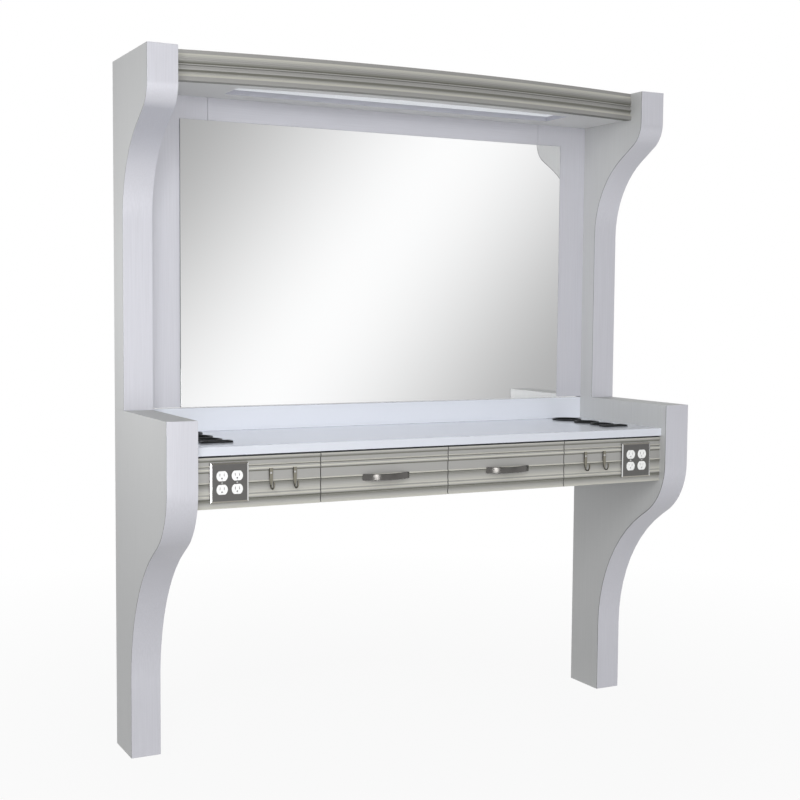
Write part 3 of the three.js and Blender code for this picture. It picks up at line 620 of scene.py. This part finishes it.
def show_white(tree, plain, white, share=None):
    """Mixes a plain shader with white seen by camera, glossy and transmission rays only."""
    nodes, links = tree.nodes, tree.links
    path = nodes.new("ShaderNodeLightPath")
    seen = nodes.new("ShaderNodeMath")
    seen.operation = "MAXIMUM"
    seen_or_through = nodes.new("ShaderNodeMath")
    seen_or_through.operation = "MAXIMUM"
    part = nodes.new("ShaderNodeMath")
    part.operation = "MULTIPLY"
    part.inputs[1].default_value = 1.0
    if share:
        links.new(share, part.inputs[1])
    mix = nodes.new("ShaderNodeMixShader")
    links.new(path.outputs["Is Camera Ray"], seen.inputs[0])
    links.new(path.outputs["Is Glossy Ray"], seen.inputs[1])
    links.new(seen.outputs[0], seen_or_through.inputs[0])
    links.new(path.outputs["Is Transmission Ray"], seen_or_through.inputs[1])
    links.new(seen_or_through.outputs[0], part.inputs[0])
    links.new(part.outputs[0], mix.inputs["Fac"])
    links.new(plain.outputs[0], mix.inputs[1])
    links.new(white.outputs[0], mix.inputs[2])
    return mix


def studio_finish(name):
    """A finish with no shader yet, for what stands around the station."""
    finish = bpy.data.materials.new(name)
    finish.use_nodes = True
    finish.node_tree.nodes.remove(finish.node_tree.nodes["Principled BSDF"])
    return finish


def studio_sheet(name, half, finish, place):
    """A flat square sheet of the studio, which isn't part of the station."""
    bm = bmesh.new()
    bmesh.ops.create_grid(bm, x_segments=1, y_segments=1, size=half, matrix=place)
    mesh = bpy.data.meshes.new(name)
    bm.to_mesh(mesh)
    bm.free()
    mesh.materials.append(finish)
    made = bpy.data.objects.new(name, mesh)
    scene.collection.objects.link(made)
    return made


world = bpy.data.worlds.new("even_sky")
scene.world = world
world.use_nodes = True
tree = world.node_tree
sky = tree.nodes["Background"]
sky.inputs["Color"].default_value = (*SKY_COLOUR, 1.0)
sky.inputs["Strength"].default_value = SKY_LIGHT
bright = tree.nodes.new("ShaderNodeBackground")
bright.inputs["Color"].default_value = (1.0, 1.0, 1.0, 1.0)
bright.inputs["Strength"].default_value = 1.0
white_sky = show_white(tree, sky, bright)
tree.links.new(white_sky.outputs[0], tree.nodes["World Output"].inputs["Surface"])

pale_floor = studio_finish("pale_floor")
tree = pale_floor.node_tree
matt = tree.nodes.new("ShaderNodeBsdfDiffuse")
matt.inputs["Color"].default_value = (*FLOOR_GREY, 1.0)
glow = tree.nodes.new("ShaderNodeEmission")
glow.inputs["Strength"].default_value = 1.0
place = tree.nodes.new("ShaderNodeTexCoord")
distance = tree.nodes.new("ShaderNodeVectorMath")
distance.operation = "LENGTH"
fade = tree.nodes.new("ShaderNodeMapRange")
fade.inputs["From Min"].default_value, fade.inputs["From Max"].default_value = SHADOW_REACH
fade.inputs["To Min"].default_value, fade.inputs["To Max"].default_value = FLOOR_SHARE
tree.links.new(place.outputs["Object"], distance.inputs[0])
tree.links.new(distance.outputs["Value"], fade.inputs["Value"])
white_floor = show_white(tree, matt, glow, fade.outputs["Result"])
tree.links.new(white_floor.outputs[0], tree.nodes["Material Output"].inputs["Surface"])
studio_sheet("floor", FLOOR_HALF, pale_floor, Matrix.Identity(4))

# Studio card: a broad soft flat in front of the station, seen only in the mirror and the metal.
# It is white with two grey bands that lie aslant, as the walls of a studio show in a mirror,
# and its foot fades to the white of the floor.
CARD_HALF = 8.0
CARD_SPOT = (3.1, -6.0, 1.9)
BAND_LEAN = -0.8
BANDS_FROM, BANDS_TO = -6.0, 10.0
BAND_GREYS = ((0.05, 1.0), (0.29, 0.38), (0.47, 1.0), (0.66, 0.44), (0.95, 1.0))
WHITE_FOOT = 0.4
card_finish = studio_finish("studio_card")
tree = card_finish.node_tree
place = tree.nodes.new("ShaderNodeTexCoord")
across = tree.nodes.new("ShaderNodeSeparateXYZ")
slope = tree.nodes.new("ShaderNodeMath")
slope.operation = "MULTIPLY_ADD"
slope.inputs[1].default_value = BAND_LEAN
along_bands = tree.nodes.new("ShaderNodeMapRange")
along_bands.inputs["From Min"].default_value = BANDS_FROM
along_bands.inputs["From Max"].default_value = BANDS_TO
shade = tree.nodes.new("ShaderNodeValToRGB")
shade.color_ramp.interpolation = "EASE"
stops = shade.color_ramp.elements
for position, grey in BAND_GREYS:
    stops.new(position).color = (grey, grey, grey, 1.0)
stops.remove(stops[-1])
stops.remove(stops[0])
rise = tree.nodes.new("ShaderNodeMapRange")
rise.interpolation_type = "SMOOTHSTEP"
rise.inputs["From Max"].default_value = WHITE_FOOT
from_white = tree.nodes.new("ShaderNodeMix")
from_white.data_type = "RGBA"
from_white.inputs["A"].default_value = (1.0, 1.0, 1.0, 1.0)
glow = tree.nodes.new("ShaderNodeEmission")
tree.links.new(place.outputs["Object"], across.inputs["Vector"])
tree.links.new(across.outputs["Z"], slope.inputs[0])
tree.links.new(across.outputs["X"], slope.inputs[2])
tree.links.new(slope.outputs[0], along_bands.inputs["Value"])
tree.links.new(along_bands.outputs["Result"], shade.inputs["Fac"])
tree.links.new(across.outputs["Z"], rise.inputs["Value"])
tree.links.new(rise.outputs["Result"], from_white.inputs["Factor"])
tree.links.new(shade.outputs["Color"], from_white.inputs["B"])
tree.links.new(from_white.outputs["Result"], glow.inputs["Color"])
tree.links.new(glow.outputs[0], tree.nodes["Material Output"].inputs["Surface"])
card = studio_sheet("studio_card", CARD_HALF, card_finish, Matrix.Translation(CARD_SPOT) @ FACING_FRONT)
card.visible_camera = False
card.visible_diffuse = False
card.visible_shadow = False

# Studio lamps: a soft key close on the left, a small spot on the left side, two broad front lights,
# a strip that only shows in the steel, and the glow of the canopy light on the boards below it.
# Places and sizes are in metres, the spread in degrees and the power in watts.
for name, spot, aim, width, height, spread, power, only_gloss in (
    ("key", (-2.4, -2.8, 2.6), (-0.4, 0.0, 1.6), 1.4, 1.4, 180.0, 51.0, False),
    ("side", (-2.2, -0.1, 1.42), (-0.9, 0.0, 1.42), 0.3, 0.3, 75.0, 1.5, False),
    ("front", (-0.4, -5.6, 1.7), (0.0, 0.0, 1.4), 2.6, 1.6, 180.0, 104.0, False),
    ("front_left", (-1.8, -5.2, 1.6), (0.0, 0.0, 1.2), 2.0, 1.6, 180.0, 41.0, False),
    ("strip", (-1.1, -5.5, 0.47), (0.0, 0.0, 0.47), 1.0, 0.9, 180.0, 31.5, True),
    ("canopy_glow", (0.0, 0.08, 2.03), (0.0, 0.08, 0.0), 1.1, 0.12, 180.0, 0.4, False),
):
    lamp = bpy.data.lights.new(name, "AREA")
    lamp.shape = "RECTANGLE"
    lamp.size = width
    lamp.size_y = height
    lamp.spread = math.radians(spread)
    lamp.energy = power
    stand = bpy.data.objects.new(name, lamp)
    stand.location = spot
    stand.rotation_euler = (Vector(aim) - Vector(spot)).to_track_quat("-Z", "Y").to_euler()
    stand.visible_camera = False
    stand.visible_glossy = only_gloss
    stand.visible_diffuse = not only_gloss
    scene.collection.objects.link(stand)

# Camera: left of the station and 1.4 m up, turned to the photograph's angle.
# Its place, turn and focal length were solved from the station's edges in the photograph.
EYE = Vector((-2.0271, -3.8359, 1.3877))
YAW, PITCH, ROLL = 0.476, -0.069, 0.008
FOCAL_LENGTH = 60.04
SENSOR_WIDTH = 36.0
ahead = Vector((math.sin(YAW) * math.cos(PITCH), math.cos(YAW) * math.cos(PITCH), math.sin(PITCH)))
level = Vector((math.cos(YAW), -math.sin(YAW), 0.0))
plumb = level.cross(ahead)
right = level * math.cos(ROLL) + plumb * math.sin(ROLL)
up = plumb * math.cos(ROLL) - level * math.sin(ROLL)
camera_data = bpy.data.cameras.new("camera")
camera_data.lens = FOCAL_LENGTH
camera_data.sensor_width = SENSOR_WIDTH
camera = bpy.data.objects.new("camera", camera_data)
turn = Matrix((right, up, -ahead)).transposed().to_4x4()
camera.matrix_world = Matrix.Translation(EYE) @ turn
scene.collection.objects.link(camera)
scene.camera = camera
scene.view_settings.view_transform = "Standard"
